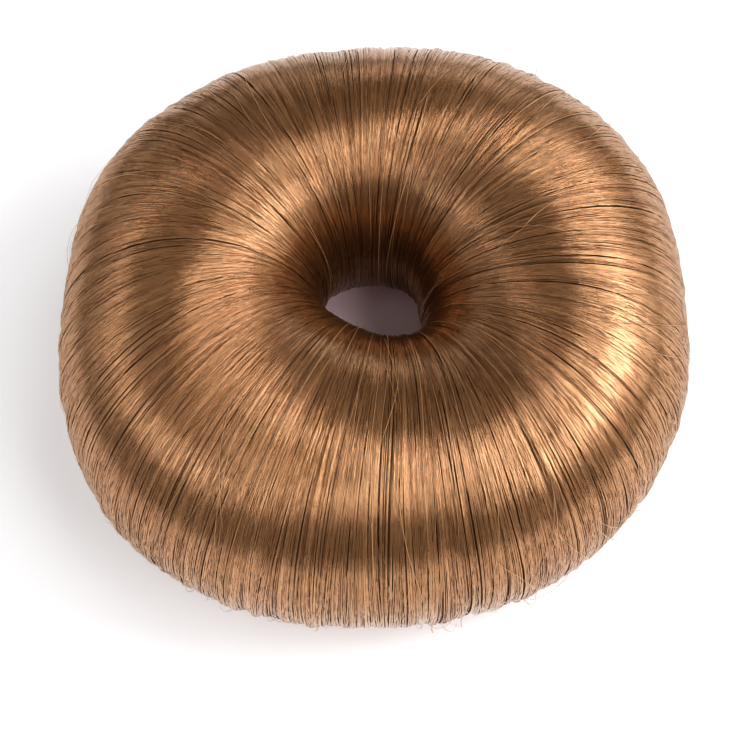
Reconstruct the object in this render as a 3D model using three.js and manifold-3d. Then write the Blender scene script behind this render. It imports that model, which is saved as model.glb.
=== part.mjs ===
// A top knot hairpiece: combed synthetic hair wound round a padded ring.
// The hair runs from the underside up through the hole, over the top and down the outside,
// and its two edges are sewn to the foot of the padded ring.
// Millimetres, +Z up. The origin is at the middle of the footprint, on the surface that it rests on.

import * as THREE from 'three';
import * as BufferGeometryUtils from 'three/addons/utils/BufferGeometryUtils.js';
import Module from 'manifold-3d';

const wasm = await Module();
wasm.setup();

// Driving dimensions of the whole piece.
const outerRadius = 50;      // from the middle of the hole to the outside of the hair
const holeRadius = 8;        // the narrowest part of the hole
const hairHeight = 40;       // from the surface to the crest of the hair
const widestHeight = 19.2;   // where the section is widest
const flattenedDepth = 2;    // how far the round section is flattened underneath

// The wound hair and what it is wound on.
const hairThickness = 5;     // over the top, outside and in the hole
const turnedThickness = 3;   // where the hair is turned under the ring
const footWidth = 12;        // the part of the padded ring that shows underneath
const seatGap = 0.3;         // between the hair and the padded ring

// Locks: the bundles that the combed hair falls into.
const lockCount = 48;
const lockRelief = 0.6;      // from the edge of a lock to its top, where it is fullest
const lockUnevenness = 0.3;  // how far a lock's edge strays, as a share of its width
const lockSway = 2.2;        // how far a lock leans from straight, in degrees round the ring
const holeReliefShare = 0.2; // what is left of the relief in the narrow hole

// Fineness of the faces.
const stepsPerLock = 3;
const hairSides = 24;
const coreSteps = 56;
const coreSides = 14;
const slotSides = 4;

// The outline seen from above, as shares of the driving dimensions, at even steps round the ring.
// Azimuth 0 is along +X and 90 along +Y. The hole isn't in the middle: the hair is fuller towards -Y.
const outline = [
  { azimuth: 0,     outer: 0.985, hole: 0.95, crest: 1.00 },
  { azimuth: 22.5,  outer: 1.015, hole: 0.98, crest: 1.00 },
  { azimuth: 45,    outer: 1.020, hole: 1.05, crest: 0.99 },
  { azimuth: 67.5,  outer: 0.990, hole: 1.10, crest: 0.98 },
  { azimuth: 90,    outer: 0.955, hole: 1.09, crest: 0.98 },
  { azimuth: 112.5, outer: 0.965, hole: 1.11, crest: 0.98 },
  { azimuth: 135,   outer: 1.000, hole: 1.11, crest: 0.99 },
  { azimuth: 157.5, outer: 1.010, hole: 1.06, crest: 0.99 },
  { azimuth: 180,   outer: 0.975, hole: 1.05, crest: 0.99 },
  { azimuth: 202.5, outer: 1.020, hole: 0.90, crest: 1.00 },
  { azimuth: 225,   outer: 1.060, hole: 0.78, crest: 1.00 },
  { azimuth: 247.5, outer: 1.050, hole: 0.78, crest: 0.99 },
  { azimuth: 270,   outer: 1.020, hole: 0.88, crest: 0.99 },
  { azimuth: 292.5, outer: 1.035, hole: 1.05, crest: 1.00 },
  { azimuth: 315,   outer: 1.035, hole: 1.14, crest: 1.00 },
  { azimuth: 337.5, outer: 1.020, hole: 1.08, crest: 1.00 },
];

// The main partings in the hair. From and to are angles round the section: 0 is the outside, 90 the
// crest and 180 the hole. Depth is a share of the lock relief, and width is in degrees round the ring.
const partings = [
  { azimuth: 8,   from: 70,  to: 165, depth: 0.7, width: 2.0 },
  { azimuth: 52,  from: -20, to: 80,  depth: 0.8, width: 2.4 },
  { azimuth: 97,  from: -30, to: 110, depth: 0.9, width: 2.2 },
  { azimuth: 131, from: -20, to: 120, depth: 1.0, width: 2.6 },
  { azimuth: 172, from: 0,   to: 100, depth: 0.8, width: 2.4 },
  { azimuth: 203, from: -30, to: 60,  depth: 1.0, width: 2.6 },
  { azimuth: 236, from: -40, to: 70,  depth: 0.9, width: 2.4 },
  { azimuth: 272, from: 60,  to: 175, depth: 1.2, width: 2.2 },
  { azimuth: 288, from: -50, to: 40,  depth: 1.1, width: 2.4 },
  { azimuth: 316, from: 20,  to: 160, depth: 1.3, width: 2.6 },
  { azimuth: 333, from: -40, to: 70,  depth: 0.9, width: 2.4 },
];

const partingFade = 25;      // how gently a parting starts and ends, in degrees round the section

// The lean of the locks, as waves round the ring: how many, where the first starts, and its share.
const swayWaves = [
  { count: 3, start: 0.7, share: 1.0 },
  { count: 7, start: 2.1, share: 0.6 },
];
const swayRise = 0.4;        // turns the lean from the hole towards the outside

// The form of a lock's back, and where it ends underneath, as the sine of the section angle.
const archPower = 0.7;
const leastFullness = 0.45;
const reliefStart = -0.95;
const reliefFull = -0.6;

// An uneven order that repeats exactly: two large steps, and a start for each use of it.
const unevenStep = 12.9898;
const unevenScale = 43758.5453;
const fullnessOrder = 4.1;
const strayOrder = 9.7;

const fullTurn = 2 * Math.PI;
const radians = THREE.MathUtils.degToRad;
const degrees = THREE.MathUtils.radToDeg;
const smooth = THREE.MathUtils.smoothstep;

// A share from the outline table at any azimuth, on a smooth closed curve through its rows.
function outlineShare(column, azimuth) {
  const rows = outline.length;
  const place = (azimuth / fullTurn) * rows;
  const row = Math.floor(place);
  const [before, start, end, after] = [-1, 0, 1, 2].map(
    (k) => outline[(row + k + 2 * rows) % rows][column],
  );
  const t = place - row;
  const curve = 2 * start
    + (end - before) * t
    + (2 * before - 5 * start + 4 * end - after) * t ** 2
    + (3 * start - before - 3 * end + after) * t ** 3;
  return curve / 2;
}

// The centre and half-width of the section at an azimuth, with its crest height.
function sectionAt(azimuth) {
  const outer = outerRadius * outlineShare('outer', azimuth);
  const hole = holeRadius * outlineShare('hole', azimuth);
  return {
    centre: (outer + hole) / 2,
    halfWidth: (outer - hole) / 2,
    crest: hairHeight * outlineShare('crest', azimuth),
  };
}

// A number from 0 to 1 for each lock.
function unevenShare(lock, order) {
  const mix = Math.sin((lock % lockCount) * unevenStep + order) * unevenScale;
  return mix - Math.floor(mix);
}

// The azimuth of the edge before a lock.
function lockEdge(lock) {
  const stray = lockUnevenness * (2 * unevenShare(lock, strayOrder) - 1);
  return ((lock + stray) / lockCount) * fullTurn;
}

// How far the hair leans round the ring, which turns the locks a little out of the radial line.
function sway(azimuth, sectionAngle) {
  let lean = 0;
  for (const wave of swayWaves) {
    lean += wave.share * Math.sin(wave.count * azimuth + wave.start);
  }
  return radians(lockSway) * lean * Math.sin(sectionAngle / 2 + swayRise);
}

// How deep the partings are at a point, as a share of the lock relief.
function partingDepth(azimuth, sectionAngle) {
  const turned = degrees(sectionAngle);
  const angle = turned > 270 ? turned - 360 : turned;
  let depth = 0;
  for (const row of partings) {
    const away = degrees(azimuth) - row.azimuth;
    const nearest = ((away + 540) % 360) - 180;
    const across = Math.exp(-((nearest / row.width) ** 2));
    const starts = smooth(angle, row.from, row.from + partingFade);
    const ends = smooth(angle, row.to - partingFade, row.to);
    depth += row.depth * across * starts * (1 - ends);
  }
  return depth;
}

// The height of the locks over the smooth section, which fades in the hole and ends underneath.
// Across is how far over the lock a point is, from 0 at one edge to 1 at the other.
function relief(lock, across, azimuth, sectionAngle) {
  const fullness = leastFullness + (1 - leastFullness) * unevenShare(lock, fullnessOrder);
  const arch = across > 0 ? Math.sin(Math.PI * across) ** archPower : 0;
  const ridge = fullness * arch - partingDepth(azimuth, sectionAngle);
  const outwards = (1 + Math.cos(sectionAngle)) / 2;
  const share = holeReliefShare + (1 - holeReliefShare) * outwards;
  const above = smooth(Math.sin(sectionAngle), reliefStart, reliefFull);
  return lockRelief * ridge * share * above;
}

// A point of a ring that lies a distance inside the smooth outside of the hair. The underside is
// flat at the height of floor.
function ringPoint(azimuth, sectionAngle, inset, floor, raised = 0) {
  const { centre, halfWidth, crest } = sectionAt(azimuth);
  const out = Math.cos(sectionAngle);
  const up = Math.sin(sectionAngle);
  const radius = centre + (halfWidth - inset + raised) * out;
  const rise = up > 0 ? crest - widestHeight : widestHeight + flattenedDepth;
  const height = Math.max(floor, widestHeight + (rise - inset + raised) * up);
  return new THREE.Vector3(radius * Math.cos(azimuth), radius * Math.sin(azimuth), height);
}

// A closed ring whose vertices go where place(azimuth, sectionAngle) says.
function ringGeometry(steps, sides, place) {
  const geometry = new THREE.TorusGeometry(outerRadius, holeRadius, sides, steps);
  const { position, uv } = geometry.attributes;
  for (let i = 0; i < position.count; i++) {
    const azimuth = uv.getX(i) < 1 ? uv.getX(i) * fullTurn : 0;
    const sectionAngle = uv.getY(i) < 1 ? uv.getY(i) * fullTurn : 0;
    const point = place(azimuth, sectionAngle);
    position.setXYZ(i, point.x, point.y, point.z);
  }
  geometry.deleteAttribute('normal');
  geometry.deleteAttribute('uv');
  return BufferGeometryUtils.mergeVertices(geometry);
}

// The outside of the hair, with its locks. Each row of vertices follows a leaning lock.
function hairOutside() {
  return ringGeometry(lockCount * stepsPerLock, hairSides, (evenAzimuth, sectionAngle) => {
    const step = Math.round((evenAzimuth / fullTurn) * lockCount * stepsPerLock);
    const lock = Math.floor(step / stepsPerLock);
    const across = (step % stepsPerLock) / stepsPerLock;
    const azimuth = THREE.MathUtils.lerp(lockEdge(lock), lockEdge(lock + 1), across);
    const raised = relief(lock, across, azimuth, sectionAngle);
    return ringPoint(azimuth + sway(azimuth, sectionAngle), sectionAngle, 0, 0, raised);
  });
}

// The padded ring's own round form. A grown one is the hollow that it sits in.
function coreRing(growth) {
  return ringGeometry(coreSteps, coreSides, (azimuth, sectionAngle) => (
    ringPoint(azimuth, sectionAngle, hairThickness + seatGap - growth, turnedThickness + seatGap - growth)
  ));
}

// The foot of the padded ring, a square-sided ring. A grown one is the slot that it passes through.
function footRing(growth) {
  const halfWidth = footWidth / 2 + growth;
  const bottom = growth > 0 ? -seatGap : 0;
  const top = turnedThickness + hairThickness;
  return ringGeometry(coreSteps, slotSides, (azimuth, sectionAngle) => {
    const corner = Math.round((sectionAngle / fullTurn) * slotSides);
    const outside = corner === 0 || corner === slotSides - 1;
    const radius = sectionAt(azimuth).centre + (outside ? halfWidth : -halfWidth);
    const height = corner < slotSides / 2 ? top : bottom;
    return new THREE.Vector3(radius * Math.cos(azimuth), radius * Math.sin(azimuth), height);
  });
}

function solidFrom(geometry) {
  return new wasm.Manifold(new wasm.Mesh({
    numProp: 3,
    vertProperties: Float32Array.from(geometry.attributes.position.array),
    triVerts: Uint32Array.from(geometry.index.array),
  }));
}

function geometryFrom(solid) {
  const { vertProperties, triVerts } = solid.getMesh();
  const geometry = new THREE.BufferGeometry();
  geometry.setAttribute('position', new THREE.BufferAttribute(vertProperties, 3));
  geometry.setIndex(new THREE.BufferAttribute(triVerts, 1));
  geometry.computeVertexNormals();
  return geometry;
}

function hairWrap() {
  const hollow = solidFrom(coreRing(seatGap)).add(solidFrom(footRing(seatGap)));
  const hair = new THREE.Mesh(
    geometryFrom(solidFrom(hairOutside()).subtract(hollow)),
    new THREE.MeshStandardMaterial({ color: 0xa8774b, roughness: 0.38, metalness: 0 }),
  );
  hair.name = 'hair_wrap';
  return hair;
}

function paddedRing() {
  const ring = new THREE.Mesh(
    geometryFrom(solidFrom(coreRing(0)).add(solidFrom(footRing(0)))),
    new THREE.MeshStandardMaterial({ color: 0x6b4a30, roughness: 0.9, metalness: 0 }),
  );
  ring.name = 'padded_ring';
  return ring;
}

const hairpiece = new THREE.Group();
hairpiece.add(hairWrap(), paddedRing());

const footprint = new THREE.Box3().setFromObject(hairpiece).getCenter(new THREE.Vector3());
hairpiece.position.set(-footprint.x, -footprint.y, 0);

export default hairpiece;
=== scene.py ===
import math

import bpy
import numpy as np
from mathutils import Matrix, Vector
from mathutils.bvhtree import BVHTree


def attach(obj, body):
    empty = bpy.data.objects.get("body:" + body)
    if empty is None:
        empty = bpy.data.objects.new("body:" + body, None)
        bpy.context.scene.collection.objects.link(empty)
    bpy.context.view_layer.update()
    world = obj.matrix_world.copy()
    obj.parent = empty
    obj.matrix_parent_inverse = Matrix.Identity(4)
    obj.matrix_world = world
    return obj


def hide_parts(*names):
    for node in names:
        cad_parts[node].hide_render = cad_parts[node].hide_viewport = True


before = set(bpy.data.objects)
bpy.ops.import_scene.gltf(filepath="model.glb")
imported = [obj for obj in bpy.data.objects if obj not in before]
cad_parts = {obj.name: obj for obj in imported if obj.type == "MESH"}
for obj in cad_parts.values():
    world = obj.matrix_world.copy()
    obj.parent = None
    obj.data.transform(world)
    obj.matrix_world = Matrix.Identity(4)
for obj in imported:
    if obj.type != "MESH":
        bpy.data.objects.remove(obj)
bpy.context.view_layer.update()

# The hairpiece lies flat. Its hole isn't in the middle of the footprint. Metres.
HOLE_MIDDLE = (-0.00016, 0.00162)
WIDEST_HEIGHT = 0.0192
FLATTENED_DEPTH = 0.002
INNER_FULLNESS = 0.0007
FULL_SIDE = math.radians(256)
FULL_NARROWNESS = 4
FOOT_HALF_WIDTH = 0.006

# The hair lies in fine fibres over a smoother layer. Angles round the section are in degrees: 0 is the
# outside, 90 the crest and 180 the hole. The hair ends at the foot on both sides.
OUTSIDE_END = -74
HOLE_END = 254
LAYER_STEPS = 210
LAYER_SIDES = 38
LAYER_BACK_SIDES = 6
LAYER_SINK = -0.00034
LAYER_BACK = -0.0045
LAYER_FLOOR = 0.0004
LAYER_BACK_FLOOR = 0.003
LAYER_TONE = 0.4
LAYER_TONE_SPREAD = 0.2
RELIEF_SHARE = 0.35
STRAND_BUNDLES = 4
STRAND_STEP = 9
STRAND_RADIUS = 0.00012
STRAND_FLATNESS = 0.6
STRAND_LIFT = (-0.00002, 0.0001)
STRAND_SWELL = 0.000012
UNCROWDED_RADIUS = 0.045
TUCKED_DEPTH = 0.0005
LOWEST = 0.00003

# How far fibres lean out of the combed direction, in degrees of azimuth, and how many are strays
COMBED_LEAN = 0.06
STRAY_LEAN = 0.6
STRAY_SHARE = 0.09

FULL_TURN = 2 * math.pi


# The form of the ring, measured on the frame

RAYS_FROM = 0.07
MEASURED_STEPS = 144
MEASURED_SMOOTHING = 3.6


def node_tree(node):
    """A node's faces, ready for rays."""
    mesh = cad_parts[node].data
    points = np.zeros(len(mesh.vertices) * 3)
    mesh.vertices.foreach_get("co", points)
    corners = [tuple(face.vertices) for face in mesh.polygons]
    return BVHTree.FromPolygons([Vector(p) for p in points.reshape(-1, 3)], corners)


def smoothed_round(values, width):
    """Values at even steps of a whole turn, smoothed over that many steps each way."""
    count = len(values)
    away = np.minimum(np.arange(count), count - np.arange(count))
    weights = np.exp(-((away / width) ** 2))
    turned = np.fft.rfft(values) * np.fft.rfft(weights / weights.sum())
    return np.fft.irfft(turned, count)


def measured_ring(tree, steps=MEASURED_STEPS):
    """The outer radius, hole radius and crest height of the hair at even steps round the hole."""
    outer, hole, crest = np.zeros(steps), np.zeros(steps), np.zeros(steps)
    middle = Vector((*HOLE_MIDDLE, 0))
    for i in range(steps):
        azimuth = i / steps * FULL_TURN
        out = Vector((math.cos(azimuth), math.sin(azimuth), 0))
        level = middle + Vector((0, 0, WIDEST_HEIGHT))
        outer[i] = RAYS_FROM - tree.ray_cast(level + out * RAYS_FROM, -out)[3]
        hole[i] = tree.ray_cast(level, out)[3]
        over = middle + out * (outer[i] + hole[i]) / 2 + Vector((0, 0, RAYS_FROM))
        crest[i] = RAYS_FROM - tree.ray_cast(over, Vector((0, 0, -1)))[3]
    return [smoothed_round(values, MEASURED_SMOOTHING) for values in (outer, hole, crest)]


hair_tree = node_tree("hair_wrap")
ring_outer, ring_hole, ring_crest = measured_ring(hair_tree)


def at_azimuth(values, azimuth):
    """A measure of the ring at any azimuth, in radians."""
    steps = len(values)
    places = np.arange(steps + 1) / steps * FULL_TURN
    return np.interp(np.mod(azimuth, FULL_TURN), places, np.append(values, values[0]))


def ring_points(azimuth, section, lift, lowest=0.0):
    """Points on the ring and their outward directions. Section is in radians, lift in metres."""
    outer = at_azimuth(ring_outer, azimuth)
    hole = at_azimuth(ring_hole, azimuth)
    crest = at_azimuth(ring_crest, azimuth)
    half_width = (outer - hole) / 2
    rise = np.where(np.sin(section) > 0, crest - WIDEST_HEIGHT, WIDEST_HEIGHT + FLATTENED_DEPTH)
    out = np.cos(section) / half_width
    up = np.sin(section) / rise
    steep = np.sqrt(out ** 2 + up ** 2)
    out, up = out / steep, up / steep
    radius = (outer + hole) / 2 + half_width * np.cos(section) + lift * out
    height = WIDEST_HEIGHT + rise * np.sin(section) + lift * up
    height = np.maximum(height, lowest)
    x = HOLE_MIDDLE[0] + radius * np.cos(azimuth)
    y = HOLE_MIDDLE[1] + radius * np.sin(azimuth)
    normals = np.stack([out * np.cos(azimuth), out * np.sin(azimuth), up], -1)
    return np.stack([x, y, height], -1), normals


WAVE_SIZES = (0.4, 1.0)


def waves_round(fewest, most, number, seed):
    """A function of azimuth that repeats each turn: a sum of waves, about 1 high."""
    own = np.random.default_rng(seed)
    counts = own.integers(fewest, most + 1, number)
    starts = own.uniform(0, FULL_TURN, number)
    sizes = own.uniform(*WAVE_SIZES, number)
    sizes = sizes / math.sqrt((sizes ** 2).sum() / 2)

    def value(azimuth):
        return (sizes * np.sin(azimuth[..., None] * counts + starts)).sum(-1)
    return value


# Slow and fine leans, slow and fine slopes, and ridges like locks: the fewest and most waves in a turn
lean_waves = waves_round(2, 9, number=6, seed=11)
fine_lean_waves = waves_round(20, 60, number=12, seed=12)
slope_waves = [waves_round(14, 70, number=16, seed=seed) for seed in (21, 22)]
fine_slope_waves = [waves_round(80, 280, number=40, seed=seed) for seed in (23, 24)]
lock_waves = [waves_round(90, 200, number=30, seed=seed) for seed in (31, 32)]


# How the combed hair runs at twelve even places round the ring, from azimuth 0 up. The lean is how many
# degrees the hair turns round the ring for each radian over it, and the bend is how much more it turns
# near the hole.
FLOW_LEANS = (-4.0, -2.0, -2.0, 2.0, 1.5, 1.0, -2.0, -6.0, -0.5, 5.0, 7.0, -1.0)
FLOW_BENDS = (-1.0, 0.0, -3.0, 3.0, -1.0, 7.5, 3.0, -6.0, 2.0, 6.0, 7.0, -4.0)
FLOW_REACH = 1.1
SLOW_LEAN = math.radians(1.5)
FINE_LEAN = math.radians(0.45)
SLOW_LEAN_STARTS = -0.8
FINE_LEAN_STARTS = 0.6

# Near the lower edge the hair gathers in tufts
TUFT_COUNT = 74
TUFT_GATHER = 0.6
TUFT_HEIGHT = 0.0002
TUFT_CROSSING = 0.005
TUFT_TOP = math.radians(22)
TUFT_RUN = math.radians(75)
TUFT_UNEVEN = 4
tuft_waves = waves_round(2, 11, number=8, seed=51)
crossing_waves = waves_round(40, 130, number=20, seed=52)

# Where the hair parts: azimuth at the hole's end and at the outer end, section angles, width and depth
PARTING_COLUMNS = ("hole_azimuth", "outer_azimuth", "hole_section", "outer_section", "width", "depth")
PARTINGS = [
    (-54.5, -53.5, 118, 20, 0.30, 0.00017),
    (-87.5, -88.5, 175, 108, 0.55, 0.00014),
    (-79.0, -80.0, 96, 20, 0.20, 0.00012),
    (-96.5, -95.5, 60, -60, 0.22, 0.00015),
    (-117.0, -116.0, 150, 62, 0.25, 0.00011),
    (-38.0, -37.0, 140, 60, 0.40, 0.00009),
    (-8.0, -10.0, 120, 20, 0.40, 0.00008),
    (36.0, 34.0, 130, 20, 0.45, 0.00008),
    (83.0, 82.0, 120, 40, 0.45, 0.00008),
    (131.0, 134.0, 140, 30, 0.45, 0.00008),
    (172.0, 174.0, 110, 10, 0.45, 0.00007),
    (-142.0, -143.0, 110, 0, 0.45, 0.00008),
    (-24.0, -24.5, 60, -60, 0.22, 0.00014),
    (-70.0, -70.5, 40, -60, 0.22, 0.00014),
    (-128.0, -128.5, 45, -60, 0.22, 0.00014),
    (60.0, 60.0, 40, -60, 0.25, 0.00014),
    (110.0, 110.0, 60, -60, 0.25, 0.00014),
    (155.0, 155.0, 50, -60, 0.25, 0.00014),
]


def tuft_share(section):
    """0 over the top of the ring, rising to 1 towards the lower edge."""
    share = np.clip((TUFT_TOP - section) / TUFT_RUN, 0, 1)
    return share * share * (3 - 2 * share)


def tuft_phase(azimuth):
    """Grows by a whole turn from each tuft to the next."""
    return TUFT_COUNT * azimuth + TUFT_UNEVEN * tuft_waves(azimuth)


def closed_curve(values, steps=360):
    """A smooth closed curve through a few even values round the ring, at many more places."""
    waves = np.fft.rfft(values)
    # The finest wave would count twice among more places
    waves[-1] = waves[-1] / 2
    return np.fft.irfft(waves, steps) * steps / len(values)


flow_lean = np.radians(closed_curve(FLOW_LEANS))
flow_bend = np.radians(closed_curve(FLOW_BENDS))


def flow(azimuth, section):
    """How far the combed hair has turned round the ring since the crest, in radians."""
    reach = FLOW_REACH * np.tanh((section - math.pi / 2) / FLOW_REACH)
    return at_azimuth(flow_lean, azimuth) * reach + at_azimuth(flow_bend, azimuth) * reach ** 2 / 2


def lean(azimuth, section):
    """How far the hair leans round the ring, in radians, at an azimuth and a section angle."""
    slow = lean_waves(azimuth) * np.sin((section - SLOW_LEAN_STARTS) / 2)
    fine = fine_lean_waves(azimuth) * np.sin(section - FINE_LEAN_STARTS)
    gathered = TUFT_GATHER / TUFT_COUNT * np.sin(tuft_phase(azimuth)) * tuft_share(section)
    return SLOW_LEAN * slow + FINE_LEAN * fine + flow(azimuth, section) - gathered


def parting(azimuth, section):
    """How deep the partings are at a place, in metres, and their painted shade, from 0 to 1."""
    depth, dark = np.zeros(azimuth.shape), np.zeros(azimuth.shape)
    for row in PARTINGS:
        line = dict(zip(PARTING_COLUMNS, row))
        low, high = math.radians(line["outer_section"]), math.radians(line["hole_section"])
        share = np.clip((section - low) / (high - low), 0, 1)
        middle = line["outer_azimuth"] + (line["hole_azimuth"] - line["outer_azimuth"]) * share
        aside = np.degrees(np.angle(np.exp(1j * (azimuth - np.radians(middle)))))
        ends = np.sqrt(np.sin(math.pi * share))
        here = np.exp(-((aside / line["width"]) ** 2)) * ends
        depth = depth + line["depth"] * here
        # The darkness summed here is painted shade in the partings
        dark = dark + here
    return depth, np.clip(dark, 0, 1)


# How high the hair's slow slopes, fine slopes and ridges are, how often the slopes turn over the ring, and
# the section angle where the first ridges are full, in radians
SLOW_HEIGHT = 0.00009
FINE_HEIGHT = 0.00004
RIDGE_HEIGHT = 0.00003
RIDGE_IN_HOLE = 0.25
RIDGES_FULL_AT = -0.8
FIRST_SLOPE_TURNS = 4.5
SECOND_SLOPE_TURNS = 3.4
SECOND_SLOPE_SHARE = 0.6
FINE_SLOPE_TURNS = 7


def hole_fade(section):
    """1 on the outside of the ring, falling to a small share in the hole."""
    return RIDGE_IN_HOLE + (1 - RIDGE_IN_HOLE) * (1 + np.cos(section)) / 2


def undulation(azimuth, section):
    """The hair's height over the smooth ring, in metres: each lock bends a little in its own way."""
    first, second = (wave(azimuth) for wave in slope_waves)
    third, fourth = (wave(azimuth) for wave in fine_slope_waves)
    slow = first * np.sin(FIRST_SLOPE_TURNS * section + 2 * second)
    slow = slow + SECOND_SLOPE_SHARE * second * np.cos(SECOND_SLOPE_TURNS * section + first)
    fine = third * np.sin(FINE_SLOPE_TURNS * section + 2 * fourth)
    ridges = lock_waves[0](azimuth) * np.cos((section - RIDGES_FULL_AT) / 2) + lock_waves[1](azimuth)
    ridges = ridges * hole_fade(section)
    tufts = TUFT_HEIGHT * np.cos(tuft_phase(azimuth)) * tuft_share(section)
    sunk, _ = parting(azimuth, section)
    return SLOW_HEIGHT * slow + FINE_HEIGHT * fine + RIDGE_HEIGHT * ridges + tufts - sunk


RELIEF_REACH = 0.004
RELIEF_LIMIT = 0.0012
RELIEF_SMOOTHING = 3.0
RELIEF_BLUR_STEPS = 6
RELIEF_STEPS_ROUND = 480
RELIEF_STEPS_OVER = 60
RELIEF_AZIMUTHS = np.arange(RELIEF_STEPS_ROUND) / RELIEF_STEPS_ROUND * FULL_TURN
RELIEF_SECTIONS = np.radians(np.linspace(OUTSIDE_END, HOLE_END, RELIEF_STEPS_OVER))


def cad_relief(azimuths, sections):
    """How far the frame's locks stand over the smooth ring, on a grid of places."""
    relief = np.zeros((len(azimuths), len(sections)))
    for j, section in enumerate(sections):
        points, normals = ring_points(azimuths, np.full(len(azimuths), section), 0.0)
        for i in range(len(azimuths)):
            start = Vector(points[i] + normals[i] * RELIEF_REACH)
            hit = hair_tree.ray_cast(start, Vector(-normals[i]), 2 * RELIEF_REACH)
            relief[i, j] = RELIEF_REACH - hit[3] if hit[0] is not None else 0.0
    away = np.arange(-RELIEF_BLUR_STEPS, RELIEF_BLUR_STEPS + 1)
    kernel = np.exp(-((away / RELIEF_SMOOTHING) ** 2))
    kernel = kernel / kernel.sum()
    edges = (RELIEF_BLUR_STEPS, RELIEF_BLUR_STEPS)
    padded = np.pad(relief, ((0, 0), edges), mode="edge")
    smooth = sum(kernel[k] * padded[:, k:k + len(sections)] for k in range(len(kernel)))
    return np.clip(smooth, -RELIEF_LIMIT, RELIEF_LIMIT)


relief_grid = cad_relief(RELIEF_AZIMUTHS, RELIEF_SECTIONS)


def relief_at(azimuth, section):
    """The frame's own locks at any place, read between the places of the grid."""
    rows, columns = relief_grid.shape
    across = np.mod(azimuth, FULL_TURN) / FULL_TURN * rows
    along = (section - RELIEF_SECTIONS[0]) / (RELIEF_SECTIONS[-1] - RELIEF_SECTIONS[0]) * (columns - 1)
    along = np.clip(along, 0, columns - 1.001)
    row, column = np.floor(across).astype(int), np.floor(along).astype(int)
    s, t = across - row, along - column
    row, after = row % rows, (row + 1) % rows
    low = relief_grid[row, column] * (1 - s) + relief_grid[after, column] * s
    high = relief_grid[row, column + 1] * (1 - s) + relief_grid[after, column + 1] * s
    return low * (1 - t) + high * t


def inner_fullness(azimuth, section):
    """How far the hair stands out between crest and hole: it is fuller in one place, in front."""
    inner = np.where((np.sin(section) > 0) & (np.cos(section) < 0), np.sin(2 * section) ** 2, 0)
    return INNER_FULLNESS * np.clip(np.cos(azimuth - FULL_SIDE), 0, 1) ** FULL_NARROWNESS * inner


def hair_surface(azimuth, section, lift, lowest):
    """Points on the dressed hair: the ring, its locks and its undulations."""
    leaning = azimuth + lean(azimuth, section)
    height = RELIEF_SHARE * relief_at(leaning, section) + undulation(azimuth, section) + lift
    return ring_points(leaning, section, height + inner_fullness(leaning, section), lowest)


# Meshes

def mesh_piece(name, points, faces, material):
    """A new piece from points and faces, smooth shaded."""
    mesh = bpy.data.meshes.new(name)
    mesh.vertices.add(len(points))
    mesh.vertices.foreach_set("co", np.asarray(points, np.float32).ravel())
    faces = np.asarray(faces, np.int32)
    corners = faces.shape[1]
    mesh.loops.add(faces.size)
    mesh.loops.foreach_set("vertex_index", faces.ravel())
    mesh.polygons.add(len(faces))
    mesh.polygons.foreach_set("loop_start", np.arange(len(faces), dtype=np.int32) * corners)
    mesh.polygons.foreach_set("loop_total", np.full(len(faces), corners, np.int32))
    mesh.polygons.foreach_set("use_smooth", np.ones(len(faces), bool))
    mesh.update(calc_edges=True)
    mesh.validate()
    piece = bpy.data.objects.new(name, mesh)
    bpy.context.scene.collection.objects.link(piece)
    mesh.materials.append(material)
    return piece


def give_uv(piece, uv):
    """A UV map from one pair of numbers for each vertex."""
    mesh = piece.data
    layer = mesh.uv_layers.new(name="along_hair")
    index = np.zeros(len(mesh.loops), np.int32)
    mesh.loops.foreach_get("vertex_index", index)
    layer.data.foreach_set("uv", np.asarray(uv, np.float32)[index].ravel())


def give_tone(piece, tone):
    """How light each fibre is, with painted shade on strands, as a number from 0 to 1 for each vertex."""
    attribute = piece.data.attributes.new("tone", "FLOAT", "POINT")
    attribute.data.foreach_set("value", np.asarray(tone, np.float32))


# Materials

STREAK_SCALE = (900.0, 2.5, 1.0)
STREAK_DETAIL = 3.0
STREAK_ROUGHNESS = 0.65
STREAK_SHARE = 1.2
TONE_SHARE = 0.7
TONE_SHIFT = -0.45
FIBRE_DEPTH = 0.0002
COAT_IOR = 1.8
COAT_ROUGHNESS = 0.21
HAIR_FINISHES = {
    "hair_under_layer": {
        "dark": (0.40, 0.205, 0.085),
        "light": (0.66, 0.37, 0.175),
        "metallic": 0.6,
        "coat": 0.8,
        "roughness": 0.27,
        "bump": 0.3,
    },
    "hair_strand": {
        "dark": (0.36, 0.182, 0.074),
        "light": (0.73, 0.417, 0.204),
        "metallic": 0.76,
        "coat": 0.8,
        "roughness": 0.255,
        "bump": 0.0,
    },
    "hair_loose": {
        "dark": (0.6, 0.36, 0.19),
        "light": (0.86, 0.58, 0.36),
        "metallic": 0.35,
        "coat": 0.3,
        "roughness": 0.3,
        "bump": 0.0,
    },
}


def new_material(name):
    """A new material, its nodes, its links and its shader."""
    material = bpy.data.materials.new(name)
    material.use_nodes = True
    nodes = material.node_tree.nodes
    return material, nodes, material.node_tree.links, nodes["Principled BSDF"]


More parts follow.
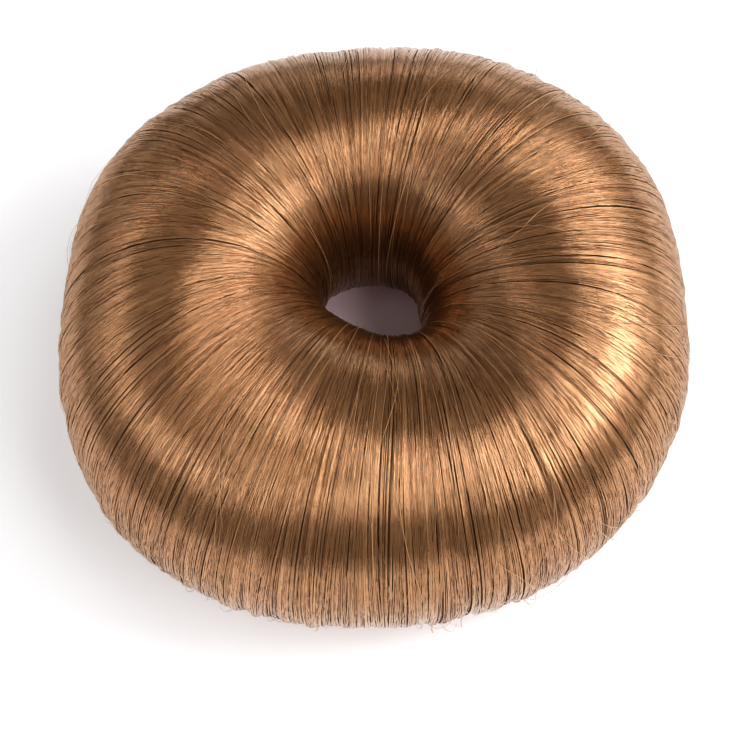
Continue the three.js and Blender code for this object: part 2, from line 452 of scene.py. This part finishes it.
def fibre_group():
    """Streaks of tone along the hair, from its UV map and its tone."""
    group = bpy.data.node_groups.new("combed_fibres", "ShaderNodeTree")
    sockets = group.interface
    sockets.new_socket("Vector", in_out="INPUT", socket_type="NodeSocketVector")
    sockets.new_socket("Tone", in_out="INPUT", socket_type="NodeSocketFloat")
    sockets.new_socket("Dark", in_out="INPUT", socket_type="NodeSocketColor")
    sockets.new_socket("Light", in_out="INPUT", socket_type="NodeSocketColor")
    sockets.new_socket("Colour", in_out="OUTPUT", socket_type="NodeSocketColor")
    sockets.new_socket("Height", in_out="OUTPUT", socket_type="NodeSocketFloat")
    nodes, links = group.nodes, group.links
    given = nodes.new("NodeGroupInput")
    made = nodes.new("NodeGroupOutput")
    streaks = nodes.new("ShaderNodeTexNoise")
    streaks.inputs["Scale"].default_value = 1.0
    streaks.inputs["Detail"].default_value = STREAK_DETAIL
    streaks.inputs["Roughness"].default_value = STREAK_ROUGHNESS
    stretch = nodes.new("ShaderNodeMapping")
    stretch.inputs["Scale"].default_value = STREAK_SCALE
    links.new(given.outputs["Vector"], stretch.inputs["Vector"])
    links.new(stretch.outputs["Vector"], streaks.inputs["Vector"])
    share = nodes.new("ShaderNodeMath")
    share.operation = "MULTIPLY_ADD"
    share.inputs[1].default_value = STREAK_SHARE
    links.new(streaks.outputs["Fac"], share.inputs[0])
    tone = nodes.new("ShaderNodeMath")
    tone.operation = "MULTIPLY_ADD"
    tone.inputs[1].default_value = TONE_SHARE
    tone.inputs[2].default_value = TONE_SHIFT
    links.new(given.outputs["Tone"], tone.inputs[0])
    links.new(tone.outputs["Value"], share.inputs[2])
    mix = nodes.new("ShaderNodeMix")
    mix.data_type = "RGBA"
    links.new(share.outputs["Value"], mix.inputs["Factor"])
    links.new(given.outputs["Dark"], mix.inputs["A"])
    links.new(given.outputs["Light"], mix.inputs["B"])
    links.new(mix.outputs["Result"], made.inputs["Colour"])
    links.new(streaks.outputs["Fac"], made.inputs["Height"])
    return group


combed_fibres = fibre_group()


def hair_material(name, dark, light, metallic, coat, roughness, bump):
    """Shiny combed hair, darker and lighter from fibre to fibre."""
    material, nodes, links, shader = new_material(name)
    uv = nodes.new("ShaderNodeUVMap")
    uv.uv_map = "along_hair"
    tone = nodes.new("ShaderNodeAttribute")
    tone.attribute_name = "tone"
    fibres = nodes.new("ShaderNodeGroup")
    fibres.node_tree = combed_fibres
    fibres.inputs["Dark"].default_value = (*dark, 1)
    fibres.inputs["Light"].default_value = (*light, 1)
    links.new(uv.outputs["UV"], fibres.inputs["Vector"])
    links.new(tone.outputs["Fac"], fibres.inputs["Tone"])
    links.new(fibres.outputs["Colour"], shader.inputs["Base Color"])
    if bump:
        height = nodes.new("ShaderNodeBump")
        height.inputs["Strength"].default_value = bump
        height.inputs["Distance"].default_value = FIBRE_DEPTH
        links.new(fibres.outputs["Height"], height.inputs["Height"])
        links.new(height.outputs["Normal"], shader.inputs["Normal"])
    shader.inputs["Metallic"].default_value = metallic
    shader.inputs["Roughness"].default_value = roughness
    shader.inputs["Coat Weight"].default_value = coat
    shader.inputs["Coat IOR"].default_value = COAT_IOR
    shader.inputs["Coat Roughness"].default_value = COAT_ROUGHNESS
    return material


hair_materials = {name: hair_material(name, **finish) for name, finish in HAIR_FINISHES.items()}

CLOTH_THREADS = 420.0
CLOTH_UNEVEN = 0.6
CLOTH_DARK = (0.035, 0.02, 0.012, 1)
CLOTH_LIGHT = (0.12, 0.07, 0.042, 1)
CLOTH_DEPTH = 0.0002
CLOTH_BUMP = 0.5
CLOTH_ROUGHNESS = 0.9


def cloth_material():
    """Plain woven cloth for the padded ring's foot."""
    material, nodes, links, shader = new_material("ring_cloth")
    place = nodes.new("ShaderNodeTexCoord")
    waves = []
    for axis in ("X", "Y"):
        wave = nodes.new("ShaderNodeTexWave")
        wave.bands_direction = axis
        wave.inputs["Scale"].default_value = CLOTH_THREADS
        wave.inputs["Distortion"].default_value = CLOTH_UNEVEN
        links.new(place.outputs["Object"], wave.inputs["Vector"])
        waves.append(wave)
    weave = nodes.new("ShaderNodeMath")
    weave.operation = "MULTIPLY"
    links.new(waves[0].outputs["Fac"], weave.inputs[0])
    links.new(waves[1].outputs["Fac"], weave.inputs[1])
    mix = nodes.new("ShaderNodeMix")
    mix.data_type = "RGBA"
    mix.inputs["A"].default_value = CLOTH_DARK
    mix.inputs["B"].default_value = CLOTH_LIGHT
    links.new(weave.outputs["Value"], mix.inputs["Factor"])
    links.new(mix.outputs["Result"], shader.inputs["Base Color"])
    height = nodes.new("ShaderNodeBump")
    height.inputs["Strength"].default_value = CLOTH_BUMP
    height.inputs["Distance"].default_value = CLOTH_DEPTH
    links.new(weave.outputs["Value"], height.inputs["Height"])
    links.new(height.outputs["Normal"], shader.inputs["Normal"])
    shader.inputs["Roughness"].default_value = CLOTH_ROUGHNESS
    return material


# Turned pieces: a closed outline, turned about the hole's axis and then fitted to the ring

TURNED_RADIUS = 0.029
JOINED_WITHIN = 0.000001


def turned(name, outline, steps):
    """Turns a closed outline of distances and heights about the hole's axis."""
    bpy.ops.object.select_all(action="DESELECT")
    bpy.ops.mesh.primitive_circle_add(vertices=len(outline), radius=TURNED_RADIUS, location=(0, 0, 0))
    piece = bpy.context.object
    piece.name = name
    for vertex, (across, height) in zip(piece.data.vertices, outline):
        vertex.co = (HOLE_MIDDLE[0] + TURNED_RADIUS + across, HOLE_MIDDLE[1], height)
    bpy.ops.object.mode_set(mode="EDIT")
    bpy.ops.mesh.select_all(action="SELECT")
    bpy.ops.mesh.spin(steps=steps, angle=FULL_TURN, center=(*HOLE_MIDDLE, 0), axis=(0, 0, 1))
    bpy.ops.mesh.select_all(action="SELECT")
    bpy.ops.mesh.remove_doubles(threshold=JOINED_WITHIN)
    bpy.ops.mesh.normals_make_consistent(inside=False)
    return piece


def turned_places(mesh):
    """The azimuth, the distance from the outline's own middle and the height of every point."""
    points = np.zeros(len(mesh.vertices) * 3)
    mesh.vertices.foreach_get("co", points)
    points = points.reshape(-1, 3)
    out = points[:, :2] - HOLE_MIDDLE
    return np.arctan2(out[:, 1], out[:, 0]), np.linalg.norm(out, axis=1) - TURNED_RADIUS, points[:, 2]


def finish_turned(piece, points, material):
    """Gives a turned piece its fitted points and its finish."""
    bpy.ops.object.mode_set(mode="OBJECT")
    piece.data.vertices.foreach_set("co", points.astype(np.float32).ravel())
    piece.data.update()
    bpy.ops.object.shade_smooth()
    piece.data.materials.append(material)


# The hair's under layer: its outside follows the combed hair, its inside lies on the padding

LAYER_OUTSIDE = 0.0200
LAYER_INSIDE = 0.0155
LAYER_WHOLLY_OUTSIDE = 0.0195
LAYER_WHOLLY_INSIDE = 0.0160

# Each side of the layer: its distance from the outline's middle, its first and last angle and its points
LAYER_FACES = [
    (LAYER_OUTSIDE, OUTSIDE_END, HOLE_END, LAYER_SIDES),
    (LAYER_INSIDE, HOLE_END, OUTSIDE_END, LAYER_BACK_SIDES),
]


def under_layer():
    """A closed layer of hair, its outside on the combed surface and its inside on the padding."""
    outline = []
    for radius, first, last, sides in LAYER_FACES:
        for angle in np.radians(np.linspace(first, last, sides)):
            outline.append((radius * math.cos(angle), WIDEST_HEIGHT + radius * math.sin(angle)))
    piece = turned("hair_under_layer", outline, LAYER_STEPS)
    bpy.ops.mesh.select_all(action="SELECT")
    bpy.ops.mesh.subdivide(number_cuts=1)
    bpy.ops.object.mode_set(mode="OBJECT")
    azimuth, across, height = turned_places(piece.data)
    section = np.arctan2(height - WIDEST_HEIGHT, across)
    section = np.where(section < -math.pi / 2, section + FULL_TURN, section)
    from_middle = np.hypot(across, height - WIDEST_HEIGHT)
    depth = (LAYER_WHOLLY_OUTSIDE - from_middle) / (LAYER_WHOLLY_OUTSIDE - LAYER_WHOLLY_INSIDE)
    depth = np.clip(depth, 0, 1)[:, None]
    outside, _ = hair_surface(azimuth, section, LAYER_SINK, LAYER_FLOOR)
    inside, _ = ring_points(azimuth, section, LAYER_BACK, LAYER_BACK_FLOOR)
    finish_turned(piece, outside * (1 - depth) + inside * depth, hair_materials["hair_under_layer"])
    give_uv(piece, np.stack([azimuth, section], -1) / FULL_TURN)
    give_tone(piece, LAYER_TONE + LAYER_TONE_SPREAD * lock_waves[0](azimuth))
    return piece


# Strands

TUBE_CORNERS = np.radians([90, 210, 330])
TUBE_SIDES = len(TUBE_CORNERS)

# How fibres differ: their steps, widths and tones, and how their ends thin out and tuck in
STEP_SHIFT = 0.45
SWELL_TURNS = (3, 5)
SWELL_STARTS = (50, 80)
TAPERED_STEPS = 2.5
TIP_SHARE = 0.12
TUCKED_STEPS = 1.5
STRAND_FLOOR = 0.6 * LAYER_FLOOR
CROWDED_SHARE = 0.12
STRAND_WIDTHS = (0.7, 1.25)
STRAND_TONE = 0.5
STRAND_TONE_SPREAD = 0.13
LOCK_TONE_SPREAD = 0.1

# Painted shade: fibres are darker in a parting and down in the hole, where shade falls
PARTING_PAINTED_SHADE = 0.4
HOLE_PAINTED_SHADE = 0.35
HOLE_PAINTED_SHADE_FROM = math.radians(150)
HOLE_PAINTED_SHADE_RUN = math.radians(60)


def tubes(line, normals, radius, taper):
    """Closed three-sided tubes along many lines at once: their points and their triangles."""
    count, steps = line.shape[:2]
    along = np.gradient(line, axis=1)
    along = along / np.linalg.norm(along, axis=-1, keepdims=True)
    side = np.cross(along, normals)
    side = side / np.linalg.norm(side, axis=-1, keepdims=True)
    up = np.cross(side, along)
    reach = (radius * taper)[..., None]
    corners = []
    for turn in TUBE_CORNERS:
        corners.append(line + reach * (math.cos(turn) * side + STRAND_FLATNESS * math.sin(turn) * up))
    points = np.stack(corners, 2)
    points[..., 2] = np.maximum(points[..., 2], LOWEST)
    rings = np.arange(count * steps).reshape(count, steps) * TUBE_SIDES
    a, b = rings[:, :-1].ravel(), rings[:, 1:].ravel()
    faces = []
    for k in range(TUBE_SIDES):
        after = (k + 1) % TUBE_SIDES
        faces.append(np.stack([a + k, a + after, b + after], -1))
        faces.append(np.stack([a + k, b + after, b + k], -1))
    # One triangle closes each end
    faces.append(np.stack([rings[:, 0] + 2, rings[:, 0] + 1, rings[:, 0]], -1))
    faces.append(np.stack([rings[:, -1], rings[:, -1] + 1, rings[:, -1] + 2], -1))
    return points.reshape(-1, 3), np.concatenate(faces)


def strands(own, count, starts_at, ends_at, whole):
    """Fibres laid along the hair from one section angle to another, in degrees, as tubes."""
    start = (np.arange(count) + own.uniform(0, 1, count)) / count * FULL_TURN
    first = own.uniform(*starts_at, count)
    last = own.uniform(*ends_at, count)
    steps = int(round((np.mean(ends_at) - np.mean(starts_at)) / STRAND_STEP)) + 1
    share = np.arange(steps) / (steps - 1)
    shift = own.uniform(-STEP_SHIFT, STEP_SHIFT, count)[:, None] * np.sin(math.pi * share) / (steps - 1)
    section = np.radians(first[:, None] + (last - first)[:, None] * (share + shift))
    stray = np.where(own.random(count) < STRAY_SHARE, STRAY_LEAN, COMBED_LEAN)
    wander = own.normal(0, 1, (count, 3)) * np.radians(stray)[:, None]
    azimuth = start[:, None] + wander[:, :1] * np.sin(section) + wander[:, 1:2] * np.cos(2 * section)
    azimuth = azimuth + wander[:, 2:] * np.sin(2 * section)
    crossing = crossing_waves(start + own.uniform(0, FULL_TURN))[:, None]
    azimuth = azimuth + TUFT_CROSSING * crossing * tuft_share(section)
    swell = own.normal(0, STRAND_SWELL, (count, 2))
    wave = swell[:, :1] * np.sin(SWELL_TURNS[0] * section + start[:, None] * SWELL_STARTS[0])
    wave = wave + swell[:, 1:] * np.sin(SWELL_TURNS[1] * section + start[:, None] * SWELL_STARTS[1])
    layer = own.uniform(*STRAND_LIFT, count)[:, None]
    from_end = np.minimum(share, 1 - share) * (steps - 1)
    taper = np.ones((count, steps))
    tuck = 0
    if not whole:
        taper = taper * np.clip(from_end / TAPERED_STEPS + TIP_SHARE, TIP_SHARE, 1)
        tuck = TUCKED_DEPTH * np.clip(1 - from_end / TUCKED_STEPS, 0, 1)
    line, normals = hair_surface(azimuth, section, layer + wave - tuck, STRAND_FLOOR)
    from_middle = np.linalg.norm(line[..., :2] - HOLE_MIDDLE, axis=-1)
    crowding = np.sqrt(np.clip(from_middle / UNCROWDED_RADIUS, CROWDED_SHARE, 1))
    radius = STRAND_RADIUS * own.uniform(*STRAND_WIDTHS, count)[:, None] * crowding
    points, faces = tubes(line, normals, radius, taper)
    tone = STRAND_TONE + STRAND_TONE_SPREAD * own.normal(0, 1, count)
    tone = tone + LOCK_TONE_SPREAD * lock_waves[0](start)
    # Painted shade: the tone falls in the partings and down in the hole
    _, parting_painted_shade = parting(azimuth, section)
    in_hole = np.clip((section - HOLE_PAINTED_SHADE_FROM) / HOLE_PAINTED_SHADE_RUN, 0, 1)
    tone = np.clip(tone[:, None] - PARTING_PAINTED_SHADE * parting_painted_shade - HOLE_PAINTED_SHADE * in_hole, 0, 1)
    around = np.repeat((start / FULL_TURN)[:, None], steps, 1)
    uv = np.stack([around, section / FULL_TURN], -1)
    across = np.array([[0, 0], [-1, 0], [1, 0]]) * STRAND_RADIUS / UNCROWDED_RADIUS / FULL_TURN
    uv = (uv[:, :, None, :] + across).reshape(-1, 2)
    return points, faces, np.repeat(tone.ravel(), TUBE_SIDES), uv


STRAND_SEED = 100

# How many fibres of each kind are in a bundle, where they start and end, and whether they run whole
STRAND_KINDS = [
    {"count": 420, "starts_at": (-74, -74), "ends_at": (254, 254), "whole": True},
    {"count": 370, "starts_at": (-78, -62), "ends_at": (120, 180), "whole": False},
    {"count": 540, "starts_at": (-70, 30), "ends_at": (80, 170), "whole": False},
]


def strand_bundle(name, seed):
    """Fibres of every kind, as one mesh."""
    own = np.random.default_rng(seed)
    made = [strands(own, **kind) for kind in STRAND_KINDS]
    before = np.cumsum([0] + [len(part[0]) for part in made[:-1]])
    points = np.concatenate([part[0] for part in made])
    faces = np.concatenate([part[1] + first for part, first in zip(made, before)])
    piece = mesh_piece(name, points, faces, hair_materials["hair_strand"])
    give_tone(piece, np.concatenate([part[2] for part in made]))
    give_uv(piece, np.concatenate([part[3] for part in made]))
    return piece


def dress(piece, node):
    """Puts a piece on the body in place of a node of the frame."""
    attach(piece, "root")
    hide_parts(node)
    return piece


dress(under_layer(), "hair_wrap")
for bundle in range(STRAND_BUNDLES):
    dress(strand_bundle(f"hair_strands_{bundle + 1}", STRAND_SEED + bundle), "hair_wrap")


# Loose fibres: strays over the combed hair, small loops along the lower edge, and a few listed one by one

LOOSE_SEED = 77
LOOSE_STEPS = 18
LOOSE_RADIUS = 0.00005
STRAYS = 120
EDGE_LOOPS = 260
LOOSE_TAPERED_STEPS = 4
LOOSE_TIP_SHARE = 0.2
LOOSE_WIDTHS = (0.7, 1.2)
LOOSE_TONES = (0.45, 0.9)
TWIST_TURNS = 5
TWISTED_RADIUS = UNCROWDED_RADIUS / 3

# Where strays and edge loops start and how long they are, in degrees, and how they turn and stand out
STRAY_SECTIONS = (-40, 110)
STRAY_LENGTHS = (25, 95)
STRAY_TURN = 5
STRAY_LIFT = 0.0001
STRAY_LIFT_SPREAD = 0.00025
HIGHEST_STRAY = 0.0013
LOOP_SECTIONS = (-66, -20)
LOOP_LENGTHS = (8, 30)
LOOP_TURN = 1.6
LOOP_LIFT = 0.0002
LOOP_LIFT_SPREAD = 0.0003
HIGHEST_LOOP = 0.0014

# Fibres listed one by one: angles in degrees, lift and twist in metres
LOOSE_COLUMNS = ("azimuth", "turns_to", "section", "goes_to", "lift", "twist")
HAND_PLACED = [
    (-97, -94, 108, 60, 0.0003, 0),
    (-84, -79, 70, 12, 0.0004, 0),
    (-66, -57, 28, -6, 0.0006, 0),
    (-62, -50, 22, -30, 0.0009, 0),
    (-55, -47, 30, -14, 0.0007, 0),
    (-52, -60, 16, -22, 0.0011, 0),
    (-48, -40, 20, -25, 0.0006, 0),
    (-20, -9, 75, 20, 0.0004, 0),
    (84, 79, 128, 214, 0.0020, 0),
    (70, 76, 120, 195, 0.0008, 0),
    (-16, 2, 196, 146, 0.0004, 0.00009),
    (-15, 3, 196, 146, 0.0004, -0.00009),
    (148, 158, 60, 5, 0.0005, 0),
    (205, 196, 55, -10, 0.0006, 0),
    (30, 41, 66, 8, 0.0005, 0),
]


def loose_lines(azimuth, turns_to, section, goes_to, lift, twist):
    """Lines that leave the hair, bow out by their lift and come back, one for each row of numbers."""
    share = np.arange(LOOSE_STEPS) / (LOOSE_STEPS - 1)
    bow = np.sin(math.pi * share)
    around = np.radians(azimuth[:, None] + (turns_to - azimuth)[:, None] * share)
    along = np.radians(section[:, None] + (goes_to - section)[:, None] * share)
    winding = TWIST_TURNS * FULL_TURN * share
    sideways = twist[:, None] * np.cos(winding) / TWISTED_RADIUS
    height = STRAND_LIFT[1] + lift[:, None] * bow + np.abs(twist)[:, None]
    height = height + twist[:, None] * np.sin(winding)
    return hair_surface(around + sideways, along, height, LAYER_FLOOR)


def stray_rows(own, count):
    """Columns of numbers for strays, as LOOSE_COLUMNS names them."""
    azimuth = own.uniform(0, 360, count)
    section = own.uniform(*STRAY_SECTIONS, count)
    length = own.uniform(*STRAY_LENGTHS, count)
    lift = np.minimum(STRAY_LIFT + own.exponential(STRAY_LIFT_SPREAD, count), HIGHEST_STRAY)
    turn = own.normal(0, STRAY_TURN, count)
    return azimuth, azimuth + turn, section, section + length, lift, np.zeros(count)


def edge_loop_rows(own, count):
    """Columns of numbers for small loops along the lower edge, as LOOSE_COLUMNS names them."""
    azimuth = own.uniform(0, 360, count)
    section = own.uniform(*LOOP_SECTIONS, count)
    lift = np.minimum(LOOP_LIFT + own.exponential(LOOP_LIFT_SPREAD, count), HIGHEST_LOOP)
    turn = own.normal(0, LOOP_TURN, count)
    length = own.uniform(*LOOP_LENGTHS, count)
    return azimuth, azimuth + turn, section, section + length, lift, np.zeros(count)


def loose_fibres():
    """All the loose fibres, as one mesh."""
    own = np.random.default_rng(LOOSE_SEED)
    strays = stray_rows(own, STRAYS)
    edge_loops = edge_loop_rows(own, EDGE_LOOPS)
    columns = np.concatenate([strays, edge_loops, np.array(HAND_PLACED, float).T], axis=1)
    line, normals = loose_lines(**dict(zip(LOOSE_COLUMNS, columns)))
    count = len(line)
    from_end = np.minimum(np.arange(LOOSE_STEPS), np.arange(LOOSE_STEPS)[::-1])
    taper = np.clip(from_end / LOOSE_TAPERED_STEPS + LOOSE_TIP_SHARE, LOOSE_TIP_SHARE, 1)
    taper = np.tile(taper, (count, 1))
    radius = np.tile(LOOSE_RADIUS * own.uniform(*LOOSE_WIDTHS, count)[:, None], (1, LOOSE_STEPS))
    points, faces = tubes(line, normals, radius, taper)
    piece = mesh_piece("loose_fibres", points, faces, hair_materials["hair_loose"])
    corners = LOOSE_STEPS * TUBE_SIDES
    give_tone(piece, np.repeat(own.uniform(*LOOSE_TONES, count), corners))
    give_uv(piece, np.repeat(own.uniform(0, 1, (count, 2)), corners, axis=0))
    return piece


dress(loose_fibres(), "hair_wrap")


# The padded ring: a round of padding that stands on a flat foot

PADDING_STEPS = 200
PADDING_SIDES = 40
PADDING_SINK = -0.0053
PADDING_HALF_WIDTH = 0.015
FOOT_TOP = 0.0034
FOOT_SIDE = 0.0007
FOOT_EDGE = 0.0002
FOOT_MARGIN = 0.00001

# The padding's outline runs from one side of the foot round to the other, in degrees
PADDING_FROM = -68
PADDING_TO = 248

# The foot's outline: shares of its half width, and heights
FOOT_OUTLINE = [
    (-1, FOOT_TOP),
    (-1, FOOT_SIDE),
    (-0.94, FOOT_EDGE),
    (-0.8, 0),
    (-0.4, 0),
    (0, 0),
    (0.4, 0),
    (0.8, 0),
    (0.94, FOOT_EDGE),
    (1, FOOT_SIDE),
    (1, FOOT_TOP),
]


def padded_ring(material):
    """The round of padding on its foot, in cloth."""
    outline = []
    for angle in np.radians(np.linspace(PADDING_FROM, PADDING_TO, PADDING_SIDES)):
        height = WIDEST_HEIGHT + PADDING_HALF_WIDTH * math.sin(angle)
        outline.append((PADDING_HALF_WIDTH * math.cos(angle), height))
    outline.extend((share * FOOT_HALF_WIDTH, height) for share, height in FOOT_OUTLINE)
    piece = turned("padded_ring_cloth", outline, PADDING_STEPS)
    bpy.ops.object.mode_set(mode="OBJECT")
    azimuth, across, height = turned_places(piece.data)
    body, _ = ring_points(azimuth, np.arctan2(height - WIDEST_HEIGHT, across), PADDING_SINK, FOOT_TOP)
    radius = (at_azimuth(ring_outer, azimuth) + at_azimuth(ring_hole, azimuth)) / 2 + across
    x = HOLE_MIDDLE[0] + radius * np.cos(azimuth)
    y = HOLE_MIDDLE[1] + radius * np.sin(azimuth)
    on_foot = (height < FOOT_TOP + FOOT_MARGIN)[:, None]
    finish_turned(piece, np.where(on_foot, np.stack([x, y, height], 1), body), material)
    return piece


ring = dress(padded_ring(cloth_material()), "padded_ring")


# Floor, light and camera

FLOOR_SIZE = 60
FLOOR_COLOUR = (0.86, 0.85, 0.87, 1)
FLOOR_ROUGHNESS = 0.7

# Painted light: the glow stands in for light, dimming near the piece to a painted shadow.
# The floor glows a little, less near the piece. In the hole the glow runs from left to right.
GLOW_STARTS = 0.030
GLOW_FULL = 0.052
GLOW_STRENGTH = 0.25
HOLE_GLOW_LEFT = (0.60, 0.45, 0.48, 1)
HOLE_GLOW_RIGHT = (0.16, 0.10, 0.10, 1)
HOLE_GLOW_FROM = -0.009
HOLE_GLOW_TO = 0.001


def floor():
    """The plain white surface that the piece lies on, with a painted glow of light."""
    material, nodes, links, shader = new_material("white_surface")
    shader.inputs["Base Color"].default_value = FLOOR_COLOUR
    shader.inputs["Roughness"].default_value = FLOOR_ROUGHNESS
    place = nodes.new("ShaderNodeTexCoord")
    distance = nodes.new("ShaderNodeVectorMath")
    distance.operation = "LENGTH"
    links.new(place.outputs["Object"], distance.inputs[0])
    glow = nodes.new("ShaderNodeMapRange")
    glow.interpolation_type = "SMOOTHSTEP"
    glow.inputs["From Min"].default_value = GLOW_STARTS
    glow.inputs["From Max"].default_value = GLOW_FULL
    links.new(distance.outputs["Value"], glow.inputs["Value"])
    across = nodes.new("ShaderNodeSeparateXYZ")
    links.new(place.outputs["Object"], across.inputs["Vector"])
    # Painted light in the hole: a pool of light, brighter on the left, painted shade on the right
    hole = nodes.new("ShaderNodeMapRange")
    hole.interpolation_type = "SMOOTHSTEP"
    hole.inputs["From Min"].default_value = HOLE_GLOW_FROM
    hole.inputs["From Max"].default_value = HOLE_GLOW_TO
    links.new(across.outputs["X"], hole.inputs["Value"])
    in_hole = nodes.new("ShaderNodeMix")
    in_hole.data_type = "RGBA"
    in_hole.inputs["A"].default_value = HOLE_GLOW_LEFT
    in_hole.inputs["B"].default_value = HOLE_GLOW_RIGHT
    links.new(hole.outputs["Result"], in_hole.inputs["Factor"])
    everywhere = nodes.new("ShaderNodeMix")
    everywhere.data_type = "RGBA"
    everywhere.inputs["B"].default_value = (1, 1, 1, 1)
    links.new(glow.outputs["Result"], everywhere.inputs["Factor"])
    links.new(in_hole.outputs["Result"], everywhere.inputs["A"])
    links.new(everywhere.outputs["Result"], shader.inputs["Emission Color"])
    shader.inputs["Emission Strength"].default_value = GLOW_STRENGTH
    bpy.ops.mesh.primitive_plane_add(size=FLOOR_SIZE, location=(0, 0, 0))
    plane = bpy.context.object
    plane.name = "white_surface"
    plane.data.materials.append(material)


# Round soft lights: their direction and the half angle that they fill, in degrees, and their radiance
SOFTBOX_DISTANCE = 1.5
SOFTBOX_COLUMNS = ("name", "azimuth", "elevation", "half_angle", "radiance")
SOFTBOXES = [
    ("right", 0, 39, 13, 4.9),
    ("right_front", 324, 42, 13, 3.3),
    ("right_high", 0, 66, 13, 2.75),
    ("right_low", 0, 19, 12, 2.4),
    ("right_back", 36, 42, 13, 0.4),
    ("left_front", 216, 42, 13, 2.6),
    ("left_front_low", 216, 19, 12, 0.45),
    ("left", 180, 42, 13, 0.4),
    ("left_low", 180, 19, 12, 0.65),
    ("back_low", 72, 19, 12, 1.15),
    ("back_left_low", 108, 19, 12, 0.6),
    ("back_corner_low", 144, 19, 12, 0.4),
    ("front_high", 300, 66, 13, 0.4),
    ("front_left_high", 240, 66, 13, 0.7),
    ("front_low", 324, 19, 12, 0.45),
]
WORLD_STRENGTH = 0.09


def softbox(name, azimuth, elevation, half_angle, radiance):
    """A round soft light, placed by its direction and the half angle that it fills, in degrees."""
    turn, rise = math.radians(azimuth), math.radians(elevation)
    out = Vector((math.cos(turn) * math.cos(rise), math.sin(turn) * math.cos(rise), math.sin(rise)))
    size = 2 * SOFTBOX_DISTANCE * math.tan(math.radians(half_angle))
    data = bpy.data.lights.new(name, "AREA")
    data.shape = "DISK"
    data.size = size
    data.energy = radiance * math.pi * math.pi * size ** 2 / 4
    lamp = bpy.data.objects.new(name, data)
    bpy.context.scene.collection.objects.link(lamp)
    lamp.location = out * SOFTBOX_DISTANCE
    lamp.rotation_mode = "QUATERNION"
    lamp.rotation_quaternion = out.to_track_quat("Z", "Y")


floor()
for row in SOFTBOXES:
    softbox(**dict(zip(SOFTBOX_COLUMNS, row)))

world = bpy.data.worlds.new("studio")
bpy.context.scene.world = world
world.use_nodes = True
world.node_tree.nodes["Background"].inputs["Color"].default_value = (1, 1, 1, 1)
world.node_tree.nodes["Background"].inputs["Strength"].default_value = WORLD_STRENGTH

CAMERA_PLACE = (0.00009, -0.11539, 0.22133)
CAMERA_AIM = (0.00012, -0.01016, 0.020)
FOCAL_LENGTH = 69.75
SENSOR_WIDTH = 36
NEAREST_SEEN = 0.01
lens = bpy.data.cameras.new("camera")
lens.lens = FOCAL_LENGTH
lens.sensor_width = SENSOR_WIDTH
lens.clip_start = NEAREST_SEEN
camera = bpy.data.objects.new("camera", lens)
bpy.context.scene.collection.objects.link(camera)
camera.location = CAMERA_PLACE
camera.rotation_mode = "QUATERNION"
camera.rotation_quaternion = (Vector(CAMERA_AIM) - Vector(CAMERA_PLACE)).to_track_quat("-Z", "Y")
bpy.context.scene.camera = camera
bpy.context.scene.view_settings.view_transform = "Standard"
bpy.context.scene.view_settings.look = "High Contrast"
